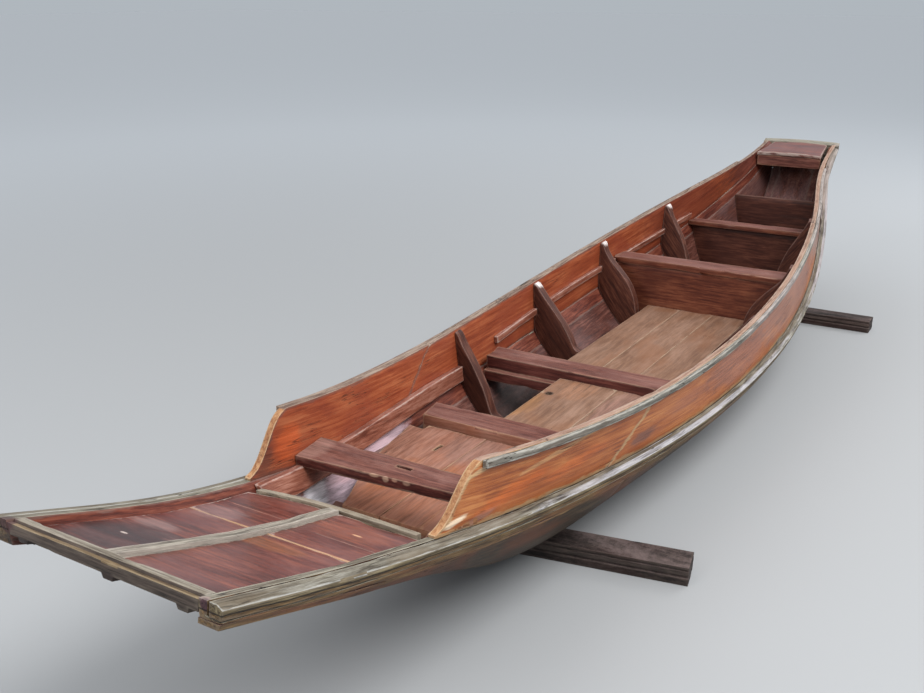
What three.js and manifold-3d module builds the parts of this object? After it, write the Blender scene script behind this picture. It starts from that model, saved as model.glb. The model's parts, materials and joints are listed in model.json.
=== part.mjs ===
// A wooden sampan, flat-bottomed and decked at both ends, lying on two timber bearers.
// Millimetres, +Z up from the ground, +X towards the bow, +Y to port.
// A place along the boat is given as s, from STERN_END at the stern to BOW_END at the bow.
import * as THREE from 'three';
import { mergeVertices } from 'three/addons/utils/BufferGeometryUtils.js';
import Module from 'manifold-3d';

const wasm = await Module();
wasm.setup();

// Driving dimensions
const STERN_END = -19;
const BOW_END = 4550;
const MIDDLE = (STERN_END + BOW_END) / 2;
const GAP = 0.3;
const SIDE_GAP = 0.9;
const STATION_STEP = BOW_END / 30;
const PLANK = 18;
const BOTTOM_THICK = 18;
const BOTTOM_CENTRE_HALF = 85;
const INNER_BULGE = 0.35;
const OUTER_BULGE = 0.85;
const STRAKE_SEAM = { drop: 50, share: 0.75 };
const STRAKE_BUTT = 9 * STATION_STEP;
const GUNWALE = { width: 30, height: 30, chamferWidth: 13, chamferDrop: 9 };
const WASHBOARD = { thick: 18, footStart: 590, topStart: 746, footHeight: 6, end: 4515 };
const SCARF = { foot: 1300, footZ: 283, slope: 1.6 };
const CAP_RAIL = { width: 12, height: 20, start: 746, end: 4150 };
const STERN_BOARD = { thick: 37, depth: 28, lugDepth: 38, lugs: [[-205, -178], [-36, -8], [178, 205]] };
const BOW_BOARD = { thick: 30 };
const HULL_START = STERN_END + STERN_BOARD.thick + GAP;
const HULL_END = BOW_END - BOW_BOARD.thick - GAP;
const STERN_DECK = { drop: 16, thick: 12, seam: 375 };
const DECK_FRONT = { centre: 600, port: 568, starboard: 596, half: 200 };
const DECK_BATTEN = { half: 13, rise: 10, aftY: 25, foreY: 8 };
const COAMING = { width: 20, rise: 8, depth: 46, gap: 1.2 };
const BOW_DECK = { start: 4290, startZ: 680, endZ: 708, thick: 16, crown: 5 };
const RISER = { portStart: 595, starboardStart: 622, end: 1704, height: 50, thick: 20, fit: 0.5 };
const INWALE = { start: 1990, end: 3686, height: 24, thick: 14, notch: 0.6 };
const THWART = { portStart: 764, starboardStart: 803, end: 883, thick: 26 };
const THWART_SLOT = { at: 846, y: -8, half: 22, width: 12 };
const FLOOR = { highZ: 264, lowZ: 195, thick: 18 };
const BEAM = { topZ: 290, ledge: 24, ledgeHeight: 34 };
const CLEAT = { width: 45, thick: 20 };
const FRAME = { siding: 38, headDepth: 12 };
const BEARER = { width: 88, height: 53.7, half: 574 };
const BEARER_GROOVES = [{ at: 25, half: 4, depth: 7 }, { at: 44, half: 3, depth: 5 }];
const WALL = 22;

// Hull sections: bilge and rail to the outside of the hull, chine to the lining of its inside
const hullStations = [
  { s: 0, keelZ: 545, bilgeHalf: 264, chineHalf: 238, railZ: 595, railHalf: 278 },
  { s: 330, keelZ: 416, bilgeHalf: 257, chineHalf: 204, railZ: 476, railHalf: 275 },
  { s: 660, keelZ: 271, bilgeHalf: 218, chineHalf: 180, railZ: 388, railHalf: 296 },
  { s: 858, keelZ: 165, bilgeHalf: 190, chineHalf: 174, railZ: 347, railHalf: 315 },
  { s: 1056, keelZ: 88, bilgeHalf: 182, chineHalf: 178, railZ: 316, railHalf: 338 },
  { s: 1200, keelZ: 54, bilgeHalf: 186, chineHalf: 184, railZ: 296, railHalf: 355 },
  { s: 1650, keelZ: 54, bilgeHalf: 220, chineHalf: 214, railZ: 255, railHalf: 407 },
  { s: 1980, keelZ: 54, bilgeHalf: 242, chineHalf: 238, railZ: 242, railHalf: 438 },
  { s: 2310, keelZ: 54, bilgeHalf: 251, chineHalf: 251, railZ: 241, railHalf: 456 },
  { s: 2640, keelZ: 54, bilgeHalf: 251, chineHalf: 251, railZ: 253, railHalf: 459 },
  { s: 2970, keelZ: 54, bilgeHalf: 238, chineHalf: 238, railZ: 279, railHalf: 444 },
  { s: 3300, keelZ: 54, bilgeHalf: 211, chineHalf: 211, railZ: 323, railHalf: 410 },
  { s: 3790, keelZ: 54, bilgeHalf: 166, chineHalf: 166, railZ: 430, railHalf: 324 },
  { s: 4050, keelZ: 150, bilgeHalf: 148, chineHalf: 148, railZ: 514, railHalf: 264 },
  { s: 4290, keelZ: 348, bilgeHalf: 139, chineHalf: 139, railZ: 610, railHalf: 206 },
  { s: 4550, keelZ: 600, bilgeHalf: 146, chineHalf: 146, railZ: 706, railHalf: 191 },
];

// Top edge of the washboards, measured to the outside of the cap rail
const washStations = [
  { s: 580, topZ: 556, topHalf: 276 },
  { s: 746, topZ: 525, topHalf: 292 },
  { s: 990, topZ: 481, topHalf: 326 },
  { s: 1320, topZ: 444, topHalf: 372 },
  { s: 1650, topZ: 424, topHalf: 409 },
  { s: 1980, topZ: 421, topHalf: 434 },
  { s: 2310, topZ: 430, topHalf: 444 },
  { s: 2640, topZ: 450, topHalf: 440 },
  { s: 2970, topZ: 479, topHalf: 418 },
  { s: 3300, topZ: 517, topHalf: 380 },
  { s: 3630, topZ: 563, topHalf: 323 },
  { s: 3960, topZ: 618, topHalf: 250 },
  { s: 4290, topZ: 668, topHalf: 202 },
  { s: 4550, topZ: 716, topHalf: 190 },
];

const riserStations = [
  { s: 590, topZ: 399 },
  { s: 766, topZ: 368 },
  { s: 1100, topZ: 343 },
  { s: 1600, topZ: 314 },
  { s: 1720, topZ: 305 },
];

const inwaleStations = [
  { s: 1980, topZ: 317 },
  { s: 2250, topZ: 328 },
  { s: 2516, topZ: 344 },
  { s: 2850, topZ: 365 },
  { s: 3008, topZ: 375 },
  { s: 3310, topZ: 406 },
  { s: 3690, topZ: 462 },
];

const sides = [
  { side: 'port', sign: 1 },
  { side: 'starboard', sign: -1 },
];

// Smooth curve through one column of a table, with no overshoot between its rows
function smooth(table, column, s) {
  const last = table.length - 2;
  let i = 0;
  while (i < last && s > table[i + 1].s) i += 1;
  const slope = (k) => (table[k + 1][column] - table[k][column]) / (table[k + 1].s - table[k].s);
  const tangent = (k) => {
    if (k === 0) return slope(0);
    if (k === table.length - 1) return slope(k - 1);
    const a = slope(k - 1);
    const b = slope(k);
    return a * b <= 0 ? 0 : (2 * a * b) / (a + b);
  };
  const span = table[i + 1].s - table[i].s;
  const t = (s - table[i].s) / span;
  const rise = table[i + 1][column] - table[i][column];
  const start = tangent(i) * span;
  const end = tangent(i + 1) * span;
  return table[i][column] + start * t + (3 * rise - 2 * start - end) * t * t
    + (start + end - 2 * rise) * t * t * t;
}

// The same curve as straight runs between shared stations, so that neighbours meet exactly
function curve(table, column) {
  return (s) => {
    const cell = Math.floor(s / STATION_STEP);
    const a = cell * STATION_STEP;
    const t = (s - a) / STATION_STEP;
    const low = smooth(table, column, a);
    return low + t * (smooth(table, column, a + STATION_STEP) - low);
  };
}

const keelZ = curve(hullStations, 'keelZ');
const bilgeHalf = curve(hullStations, 'bilgeHalf');
const chineHalf = curve(hullStations, 'chineHalf');
const railZ = curve(hullStations, 'railZ');
const railHalf = curve(hullStations, 'railHalf');
const washTopZ = curve(washStations, 'topZ');
const washTopHalf = curve(washStations, 'topHalf');
const riserTopZ = curve(riserStations, 'topZ');
const inwaleTopZ = curve(inwaleStations, 'topZ');

const mix = (a, b, t) => a + (b - a) * t;
const ease = (t) => t * t * (3 - 2 * t);
const clamp01 = (t) => Math.min(1, Math.max(0, t));
const strakeTopHalf = (s) => railHalf(s) - GUNWALE.width - GAP;

// Half-breadths at a height: outside the hull, behind the gunwale, up the washboards and inside
const heightShare = (s, z) => clamp01((z - keelZ(s)) / (railZ(s) - keelZ(s)));
function outerHalf(s, z) {
  const t = heightShare(s, z);
  return mix(bilgeHalf(s), railHalf(s), t + OUTER_BULGE * t * (1 - t));
}
function strakeHalf(s, z) {
  const t = heightShare(s, z);
  return mix(chineHalf(s), strakeTopHalf(s), t + INNER_BULGE * t * (1 - t));
}
function washHalf(s, z) {
  const t = (z - railZ(s)) / (washTopZ(s) - railZ(s));
  return mix(strakeTopHalf(s), washTopHalf(s) - CAP_RAIL.width, t);
}
function innerHalf(s, z) {
  return z > railZ(s) ? washHalf(s, z) - WASHBOARD.thick : strakeHalf(s, z) - PLANK;
}

// Shared stations between two places, with both ends
function stationsBetween(start, end) {
  const list = [start];
  const first = Math.floor(start / STATION_STEP) + 1;
  for (let k = first; k * STATION_STEP < end; k += 1) {
    const s = k * STATION_STEP;
    if (s - start > 4 && end - s > 4) list.push(s);
  }
  list.push(end);
  return list;
}

// A closed board: a block whose grid points are moved by place(u, v, w) to a point {s, y, z}
function board(name, look, along, across, through, place) {
  const box = new THREE.BoxGeometry(1, 1, 1, along.length - 1, across.length - 1, through.length - 1);
  box.deleteAttribute('normal');
  box.deleteAttribute('uv');
  const geometry = mergeVertices(box, 1e-6);
  const position = geometry.attributes.position;
  const pick = (list, t) => list[Math.round((t + 0.5) * (list.length - 1))];
  for (let i = 0; i < position.count; i += 1) {
    const u = pick(along, position.getX(i));
    const v = pick(across, position.getY(i));
    const w = pick(through, position.getZ(i));
    const { s, y, z } = place(u, v, w);
    position.setXYZ(i, s - MIDDLE, y, z);
  }
  return finish(name, look, geometry);
}

function signedVolume(geometry) {
  const p = geometry.attributes.position;
  const index = geometry.index;
  const a = new THREE.Vector3();
  const b = new THREE.Vector3();
  const c = new THREE.Vector3();
  let sum = 0;
  for (let i = 0; i < index.count; i += 3) {
    a.fromBufferAttribute(p, index.getX(i));
    b.fromBufferAttribute(p, index.getX(i + 1));
    c.fromBufferAttribute(p, index.getX(i + 2));
    sum += a.dot(b.cross(c));
  }
  return sum;
}

function faceOutwards(geometry) {
  if (signedVolume(geometry) > 0) return;
  const index = geometry.index;
  for (let i = 0; i < index.count; i += 3) {
    const first = index.getX(i);
    index.setX(i, index.getX(i + 1));
    index.setX(i + 1, first);
  }
}

function finish(name, look, geometry) {
  faceOutwards(geometry);
  geometry.computeVertexNormals();
  const mesh = new THREE.Mesh(geometry, looks[look]);
  mesh.name = name;
  return mesh;
}

// A straight block from two corners, as a plain geometry
function block(low, high) {
  const box = new THREE.BoxGeometry(high[0] - low[0], high[1] - low[1], high[2] - low[2]);
  box.translate((low[0] + high[0]) / 2 - MIDDLE, (low[1] + high[1]) / 2, (low[2] + high[2]) / 2);
  box.deleteAttribute('normal');
  box.deleteAttribute('uv');
  return mergeVertices(box, 1e-6);
}

function solid(geometry) {
  const vertProperties = new Float32Array(geometry.attributes.position.array);
  const triVerts = new Uint32Array(geometry.index.array);
  return new wasm.Manifold(new wasm.Mesh({ numProp: 3, vertProperties, triVerts }));
}

// A mesh with blocks or other shapes cut away
function cut(mesh, cutters) {
  let body = solid(mesh.geometry);
  for (const cutter of cutters) body = body.subtract(solid(cutter));
  const out = body.getMesh();
  const geometry = new THREE.BufferGeometry();
  geometry.setAttribute('position', new THREE.BufferAttribute(new Float32Array(out.vertProperties), 3));
  geometry.setIndex(new THREE.BufferAttribute(new Uint32Array(out.triVerts), 1));
  geometry.computeVertexNormals();
  const result = new THREE.Mesh(geometry, mesh.material);
  result.name = mesh.name;
  return result;
}

function material(color, roughness) {
  return new THREE.MeshStandardMaterial({ color, roughness, metalness: 0 });
}

const looks = {
  darkHull: material(0x3b3a3c, 0.85),
  brownHull: material(0x7a5536, 0.7),
  greyRail: material(0x8d8672, 0.85),
  varnish: material(0x9c4a24, 0.45),
  deck: material(0x6e2a1b, 0.35),
  thwart: material(0x6d3b31, 0.6),
  floor: material(0x9a6140, 0.65),
  floorPale: material(0xa87850, 0.7),
  bearer: material(0x3e2b26, 0.85),
};

// Bottom and sides
function bottomPlank(name, lowHalf, highHalf, sign) {
  return board(name, 'darkHull', stationsBetween(HULL_START, HULL_END), [0, 1], [0, 1], (u, v, w) => {
    const z = keelZ(u) + w * BOTTOM_THICK;
    return { s: u, y: sign * mix(lowHalf(u), highHalf(u), v), z };
  });
}

function bottomPlanks() {
  const seam = () => BOTTOM_CENTRE_HALF;
  const pieces = [bottomPlank('bottom_plank_centre', () => -BOTTOM_CENTRE_HALF, seam, 1)];
  for (const { side, sign } of sides) {
    pieces.push(bottomPlank(`bottom_plank_${side}`, () => BOTTOM_CENTRE_HALF + GAP,
      (s) => chineHalf(s) - PLANK - SIDE_GAP, sign));
  }
  return pieces;
}

// The seam between the two strakes runs a set distance below the rail, less where the hull is shallow
function seamZ(s) {
  return railZ(s) - Math.min(STRAKE_SEAM.drop, STRAKE_SEAM.share * (railZ(s) - keelZ(s)));
}

// Two planks on each side, butted beside the aft floor beam
function lowerStrakes({ side, sign }) {
  const rows = [0, 0.25, 0.5, 0.75, 1];
  const plank = (name, low, high) => board(`${name}_${side}`, 'darkHull', stationsBetween(low, high),
    rows, [0, 1], (u, v, w) => {
      const z = mix(keelZ(u), seamZ(u), v);
      return { s: u, y: sign * mix(outerHalf(u, z), strakeHalf(u, z) - PLANK, w), z };
    });
  return [
    plank('lower_strake_aft', STERN_END, STRAKE_BUTT - GAP / 2),
    plank('lower_strake_fore', STRAKE_BUTT + GAP / 2, HULL_END),
  ];
}

// The upper strake is flush with the gunwale below it, and rebated behind it
function upperStrake({ side, sign }) {
  const ledgeZ = (s) => railZ(s) - GUNWALE.height - GAP;
  const rows = [
    { height: (s) => seamZ(s) + GAP, behind: false },
    { height: (s) => ledgeZ(s) - 1, behind: false },
    { height: ledgeZ, behind: true },
    { height: (s) => (ledgeZ(s) + railZ(s)) / 2, behind: true },
    { height: railZ, behind: true },
  ];
  return board(`upper_strake_${side}`, 'brownHull', stationsBetween(STERN_END, HULL_END), rows, [0, 1],
    (u, v, w) => {
      const z = v.height(u);
      const outside = v.behind ? strakeHalf(u, z) : outerHalf(u, z);
      return { s: u, y: sign * mix(outside, strakeHalf(u, z) - PLANK, w), z };
    });
}

function gunwale({ side, sign }) {
  const { height, chamferWidth, chamferDrop } = GUNWALE;
  const rows = [-height, -chamferDrop, 0];
  return board(`gunwale_${side}`, 'greyRail', stationsBetween(STERN_END, HULL_END), rows, [0, 1],
    (u, v, w) => {
      const z = railZ(u) + v;
      const inner = strakeHalf(u, z) + 2.4 * SIDE_GAP;
      const outer = outerHalf(u, z) - (v === 0 ? chamferWidth : 0);
      return { s: u, y: sign * mix(inner, outer, w), z };
    });
}

// Washboards, each of two planks with a sloping scarf, and the cap rails outside their tops
function washboardTop(s) {
  const { footStart, topStart, footHeight } = WASHBOARD;
  const t = clamp01((s - footStart) / (topStart - footStart));
  return mix(railZ(s) + footHeight, washTopZ(s), ease(t));
}

function washboard(name, { side, sign }) {
  const { thick, footStart, topStart, end } = WASHBOARD;
  const slope = [0, 0.2, 0.35, 0.5, 0.65, 0.8].map((t) => mix(footStart, topStart, t));
  const along = slope.concat(stationsBetween(topStart, end));
  return board(`${name}_${side}`, 'varnish', along, [0, 0.5, 1], [0, 1], (u, v, w) => {
    const z = mix(railZ(u) + GAP, washboardTop(u), v);
    return { s: u, y: sign * (washHalf(u, z) - w * thick), z };
  });
}

// Everything on one side of the scarf's plane, out to the place given
function beyondScarf(offset, farS) {
  return board('scarf', 'varnish', [0, 1], [-600, 600], [100, 800], (u, v, w) => {
    const near = SCARF.foot + SCARF.slope * (w - SCARF.footZ) + offset;
    return { s: u ? farS : near, y: v, z: w };
  }).geometry;
}

function washboards(part) {
  return [
    cut(washboard('washboard_aft', part), [beyondScarf(-GAP, BOW_END + 100)]),
    cut(washboard('washboard_fore', part), [beyondScarf(0, 0)]),
  ];
}

function capRail({ side, sign }) {
  const { start, end, width, height } = CAP_RAIL;
  return board(`cap_rail_${side}`, 'greyRail', stationsBetween(start, end), [0, 1], [0, 1], (u, v, w) => {
    const z = washTopZ(u) - height * (1 - v);
    return { s: u, y: sign * (washHalf(u, z) + SIDE_GAP + w * width), z };
  });
}

// End boards. The one at the stern lies between the strakes, with lugs below it
function sternEndBoard() {
  const { thick, depth, lugDepth, lugs } = STERN_BOARD;
  const edges = lugs.flatMap(([low, high]) => [low, low + 3, high - 3, high]);
  const onLug = (y) => lugs.some(([low, high]) => y > low && y < high);
  const far = strakeTopHalf(0);
  return board('stern_end_board', 'greyRail', [STERN_END, STERN_END + thick], [-far, ...edges, far], [0, 0.5, 1],
    (u, v, w) => {
      const z = railZ(u) - (1 - w) * (onLug(v) ? lugDepth : depth);
      const half = innerHalf(u, z) - SIDE_GAP;
      return { s: u, y: Math.min(half, Math.max(-half, v)), z };
    });
}

function bowEndBoard() {
  const start = BOW_END - BOW_BOARD.thick;
  const across = [-1, -0.75, -0.5, -0.25, 0, 0.25, 0.5, 0.75, 1];
  const through = [0, 0.25, 0.5, 0.75, 1];
  return board('bow_end_board', 'greyRail', [start, BOW_END], across, through, (u, v, w) => {
    const crown = BOW_DECK.crown * (1 - v * v);
    const z = mix(keelZ(u), railZ(u) + 10 + crown, w);
    return { s: u, y: v * outerHalf(u, z), z };
  });
}

// Stern deck
const deckZ = (s) => railZ(s) - STERN_DECK.drop;
const deckHalf = (s) => innerHalf(s, deckZ(s) - STERN_DECK.thick) - SIDE_GAP;
function deckFront(y) {
  const { centre, port, starboard, half } = DECK_FRONT;
  return mix(centre, y > 0 ? port : starboard, (y / half) ** 2);
}

// A point on the bowed front edge of the deck, at a share v of the half-breadth beyond inner
function deckFrontPoint(inner, v, halfAt) {
  let s = DECK_FRONT.centre;
  let y = 0;
  for (let pass = 0; pass < 8; pass += 1) {
    y = v * halfAt(s) + inner * (1 - Math.abs(v));
    s = deckFront(y);
  }
  return { s, y };
}

// The centre batten lies a little askew, and the deck boards' inner edges follow it
const battenY = (s) => mix(DECK_BATTEN.aftY, DECK_BATTEN.foreY, clamp01(s / DECK_FRONT.centre));

function sternDeckBoard(name, start, end, { side, sign }) {
  const inner = DECK_BATTEN.half + GAP;
  const across = [0, 1 / 6, 1 / 3, 0.5, 2 / 3, 5 / 6, 1];
  const bowed = end === DECK_FRONT.centre;
  const straightTo = DECK_FRONT.port - 28;
  const along = bowed ? [...stationsBetween(start, straightTo), end] : stationsBetween(start, end);
  return board(`${name}_${side}`, 'deck', along, across, [0, 1], (u, v, w) => {
    const front = deckFrontPoint(sign * inner, sign * v, deckHalf);
    const s = bowed && u === end ? front.s : u;
    const y = mix(inner, deckHalf(s), v);
    return { s, y: sign * y + (1 - v) * battenY(s), z: deckZ(s) - (1 - w) * STERN_DECK.thick };
  });
}

function sternDeck() {
  const pieces = [];
  for (const part of sides) {
    pieces.push(sternDeckBoard('stern_deck_board_aft', HULL_START, STERN_DECK.seam - GAP, part));
    pieces.push(sternDeckBoard('stern_deck_board_fore', STERN_DECK.seam, DECK_FRONT.centre, part));
  }
  const length = stationsBetween(HULL_START, DECK_FRONT.centre);
  pieces.push(board('stern_deck_batten', 'greyRail', length, [-1, 1], [0, 1], (u, v, w) => {
    const z = mix(deckZ(u) - STERN_DECK.thick, deckZ(u) + DECK_BATTEN.rise, w);
    return { s: u, y: v * DECK_BATTEN.half + battenY(u), z };
  }));
  const steps = Array.from({ length: 13 }, (_, k) => k / 6 - 1);
  pieces.push(board('stern_coaming', 'greyRail', [0, 1], steps, [0, 1], (u, v, w) => {
    const halfAt = (s) => innerHalf(s, deckZ(s) + COAMING.rise - COAMING.depth) - SIDE_GAP;
    const front = deckFrontPoint(0, v, halfAt);
    const s = front.s + COAMING.gap + u * COAMING.width;
    const z = deckZ(s) + COAMING.rise - (1 - w) * COAMING.depth;
    return { s, y: front.y, z };
  }));
  return pieces;
}

// Bow deck
function bowDeck() {
  const { start, startZ, endZ, thick, crown } = BOW_DECK;
  const end = HULL_END;
  const across = [-1, -0.5, 0, 0.5, 1];
  const topAt = (s, v) => mix(startZ, endZ, (s - start) / (BOW_END - start)) + crown * (1 - v * v);
  const halfAt = (s) => {
    const betweenWashboards = washHalf(s, washTopZ(s)) - WASHBOARD.thick;
    return Math.min(betweenWashboards, strakeHalf(s, startZ - 60) - PLANK) - 2;
  };
  return [
    board('bow_deck', 'deck', stationsBetween(start, end), across, [0, 1], (u, v, w) => (
      { s: u, y: v * halfAt(u), z: topAt(u, v) - (1 - w) * thick }
    )),
    board('bow_deck_beam', 'thwart', [start + 4, start + 34], across, [0, 1], (u, v, w) => {
      const low = startZ - thick - 50;
      return { s: u, y: v * (halfAt(u) - 2), z: mix(low, topAt(u, v) - thick - GAP, w) };
    }),
  ];
}

// Ledges on the inside of the planking
function riser({ side, sign }) {
  const start = sign > 0 ? RISER.portStart : RISER.starboardStart;
  return board(`riser_${side}`, 'varnish', stationsBetween(start, RISER.end), [0, 0.5, 1], [0, 1],
    (u, v, w) => {
      const z = riserTopZ(u) - RISER.height * (1 - v);
      return { s: u, y: sign * (innerHalf(u, z) - SIDE_GAP - RISER.fit - w * RISER.thick), z };
    });
}

function inwale({ side, sign }, grow = 0) {
  return board(`inwale_${side}`, 'varnish', stationsBetween(INWALE.start, INWALE.end), [0, 1], [0, 1],
    (u, v, w) => {
      const z = inwaleTopZ(u) - INWALE.height * (1 - v) + grow * (2 * v - 1);
      const outer = innerHalf(u, z) - SIDE_GAP + grow * 3;
      return { s: u, y: sign * mix(outer, outer - INWALE.thick - grow * 4, w), z };
    });
}

// What crosses an inwale is notched round it
function notched(mesh) {
  return cut(mesh, sides.map((part) => inwale(part, INWALE.notch).geometry));
}

// Thwart, floor beams and bulkheads
function thwartAft() {
  const { portStart, starboardStart, end, thick } = THWART;
  const low = riserTopZ(portStart) + GAP;
  const along = stationsBetween(portStart, end);
  const plank = board('thwart_aft', 'thwart', along, [-1, 0, 1], [0, 1], (u, v, w) => {
    const s = Math.max(u, mix(portStart, starboardStart, (1 - v) / 2) + (u - portStart) * 0.2);
    const z = low + w * thick;
    return { s, y: v * (innerHalf(s, z) - SIDE_GAP), z };
  });
  const { at, y, half, width } = THWART_SLOT;
  const slot = block([at - width / 2, y - half, low - 1], [at + width / 2, y + half, low + thick + 1]);
  return cut(plank, [slot]);
}

function floorBeam(name, start, end, ledgeFore) {
  const low = FLOOR.highZ - FLOOR.thick - GAP - BEAM.ledgeHeight;
  const ledgeTop = FLOOR.highZ - FLOOR.thick - GAP;
  const aftLedge = start - BEAM.ledge;
  const foreLedge = end + ledgeFore;
  const whole = board(name, 'thwart', stationsBetween(aftLedge, foreLedge), [-1, 0, 1], [0, 0.4, 1],
    (u, v, w) => {
      const z = mix(low, BEAM.topZ, w);
      const room = u < RISER.end ? RISER.thick + SIDE_GAP : 0;
      const narrow = Math.min(innerHalf(u, z), innerHalf(u, low)) - SIDE_GAP - 1 - room;
      return { s: u, y: v * narrow, z };
    });
  const wide = 600;
  return cut(whole, [
    block([aftLedge - 1, -wide, ledgeTop], [start, wide, BEAM.topZ + 10]),
    block([end, -wide, ledgeTop], [foreLedge + 1, wide, BEAM.topZ + 10]),
  ]);
}

function floorBearer(name, start, end) {
  return board(name, 'thwart', [start, end], [-1, 0, 1], [0, 0.5, 1], (u, v, w) => {
    const z = mix(keelZ(u) + BOTTOM_THICK + GAP, FLOOR.highZ - FLOOR.thick - GAP, w);
    return { s: u, y: v * (innerHalf(u, z) - SIDE_GAP - 1), z };
  });
}

function bulkhead(name, at, topZ, look) {
  return board(name, look, [at, at + WALL], [-1, 0, 1], [0, 0.25, 0.5, 0.75, 1], (u, v, w) => {
    const z = mix(keelZ(u) + BOTTOM_THICK + SIDE_GAP, topZ, w);
    return { s: u, y: v * (innerHalf(u, z) - SIDE_GAP - 1.5), z };
  });
}

function bulkheadTop(name, start, end, topZ, thick) {
  return board(name, 'thwart', stationsBetween(start, end), [-1, 0, 1], [0, 1], (u, v, w) => {
    const z = topZ - (1 - w) * thick;
    return { s: u, y: v * (innerHalf(u, z) - SIDE_GAP - 1), z };
  });
}

// Frames: a timber across the floor with a knee up each side, as one bent piece
const timberTop = FLOOR.lowZ - FLOOR.thick - GAP;
const frames = [
  { name: 'frame_1', at: 1725,
    inner: [[125, 222], [156, 245], [225, 266], [275, 292], [325, 320], [400, 370]] },
  { name: 'frame_2', at: 2335,
    inner: [[timberTop, 228], [195, 235], [250, 262], [300, 298], [385, 372], [435, 410]] },
  { name: 'frame_3', at: 2905,
    inner: [[timberTop, 222], [240, 230], [300, 256], [345, 292], [385, 338], [474, 402]] },
  { name: 'frame_4', at: 3465,
    inner: [[150, 165], [220, 190], [300, 205], [371, 228], [425, 256], [547, 333]] },
];

// Half-breadth on a broken line through rows of [place, half-breadth]
function lineHalf(rows, at) {
  let i = 0;
  while (i < rows.length - 2 && at > rows[i + 1][0]) i += 1;
  return mix(rows[i][1], rows[i + 1][1], (at - rows[i][0]) / (rows[i + 1][0] - rows[i][0]));
}

function frame({ name, at, inner }) {
  const low = (s) => keelZ(s) + BOTTOM_THICK + GAP;
  const legs = [0, 0.12, 0.25, 0.38, 0.5, 0.62, 0.75, 0.88, 1];
  const across = [];
  for (const t of [...legs].reverse()) across.push({ sign: 1, t });
  for (const t of legs) across.push({ sign: -1, t });
  const along = [at - FRAME.siding / 2, at + FRAME.siding / 2];
  return board(name, 'thwart', along, across, [0, 1], (u, v, w) => {
    const top = washTopZ(u) - 6;
    const outerZ = mix(low(u), top, v.t);
    const outerY = innerHalf(u, outerZ) - SIDE_GAP - 1;
    const innerZ = mix(inner[0][0], top, v.t);
    const innerY = Math.min(lineHalf(inner, innerZ), innerHalf(u, innerZ) - FRAME.headDepth);
    return { s: u, y: v.sign * mix(innerY, outerY, w), z: mix(innerZ, outerZ, w) };
  });
}

// Loose floor panels: boards on two cleats each
const panels = [
  { name: 'floor_aft', start: 815, end: 1334, topZ: FLOOR.highZ, seams: [-293, -65, 47, 293],
    cleats: [880, 1240], looks: ['floor', 'floor', 'floor'],
    edge: [[815, 160], [858, 173], [935, 205], [1101, 256], [1226, 279], [1334, 293]] },
  { name: 'floor_mid', start: 1442, end: 1868, topZ: FLOOR.highZ, seams: [-247, -125, 77],
    cleats: [1480, 1752], looks: ['floorPale', 'floorPale'],
    hole: { board: 2, low: [1722, 40], high: [1742, 58] } },
  { name: 'floor_fore', start: 1996, end: 3000, topZ: FLOOR.lowZ, seams: [-212, -72, 70, 212],
    cleats: [2140, 2700], looks: ['floorPale', 'floorPale', 'floorPale'] },
];

function floorPanel({ name, start, end, topZ, seams, cleats, edge, hole, looks: boardLooks }) {
  const pieces = [];
  const spread = (s, y) => (edge && Math.abs(y) > 150 ? Math.sign(y) * lineHalf(edge, s) : y);
  const stations = edge ? edge.map(([s]) => s) : [start, end];
  boardLooks.forEach((look, k) => {
    const whole = board(`${name}_board_${k + 1}`, look, stations, [0, 1], [0, 1], (u, v, w) => {
      const y = v === 0 ? spread(u, seams[k]) + (k ? GAP : 0) : spread(u, seams[k + 1]);
      return { s: u, y, z: topZ - (1 - w) * FLOOR.thick };
    });
    const pierced = hole && hole.board === k + 1;
    pieces.push(pierced ? cut(whole, [block([...hole.low, 0], [...hole.high, topZ + 1])]) : whole);
  });
  cleats.forEach((at, k) => {
    const inset = 12;
    const ends = [spread(at, seams[0]) + inset, spread(at, seams[seams.length - 1]) - inset];
    const low = topZ - FLOOR.thick - GAP - CLEAT.thick;
    const along = [at, at + CLEAT.width];
    pieces.push(board(`${name}_cleat_${k + 1}`, 'thwart', along, ends, [0, 1], (u, v, w) => (
      { s: u, y: v, z: low + w * CLEAT.thick }
    )));
  });
  return pieces;
}

// Bearers on the ground, each with two grooves along its sides
function bearer(name, at, skew) {
  const { width, height, half } = BEARER;
  const grooves = BEARER_GROOVES.flatMap((groove) => [
    { z: groove.at - groove.half, depth: 0 },
    { z: groove.at, depth: groove.depth },
    { z: groove.at + groove.half, depth: 0 },
  ]);
  const rows = [{ z: 0, depth: 0 }, ...grooves, { z: height, depth: 0 }];
  const angle = THREE.MathUtils.degToRad(skew);
  return board(name, 'bearer', [-width / 2, width / 2], [-half, half], rows, (u, v, w) => {
    const x = u - Math.sign(u) * w.depth;
    return {
      s: at + x * Math.cos(angle) - v * Math.sin(angle),
      y: x * Math.sin(angle) + v * Math.cos(angle),
      z: w.z,
    };
  });
}

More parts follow.
